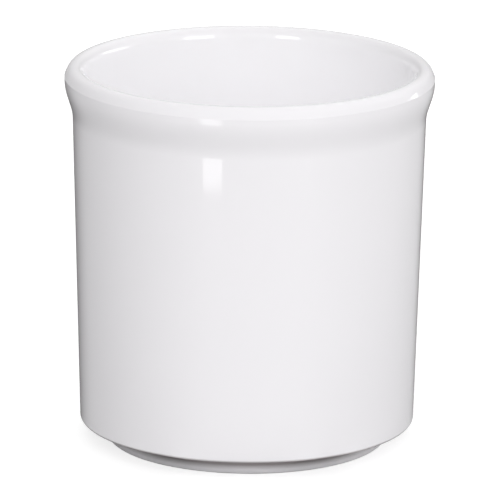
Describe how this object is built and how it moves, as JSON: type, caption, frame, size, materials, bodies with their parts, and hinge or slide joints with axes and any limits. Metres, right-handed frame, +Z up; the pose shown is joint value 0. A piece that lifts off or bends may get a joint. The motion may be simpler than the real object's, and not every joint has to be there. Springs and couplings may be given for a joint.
{
  "type": "condiment jar",
  "caption": "Open, glossy white cylindrical jar with a rounded flared rim, slightly tapered wall and inset foot ring, for serving dressings and condiments.",
  "frame": {"origin": "centre of the standing face of the foot ring, on the surface the jar stands on", "axes": "+Z up along the jar's axis, out of its mouth; the jar is turned, so +X and +Y are any two level directions"},
  "size_m": [0.12, 0.12, 0.1243],
  "materials": {
    "melamine": "glossy white moulded melamine"
  },
  "bodies": {
    "root": {"jar": "melamine"}
  },
  "joints": []
}
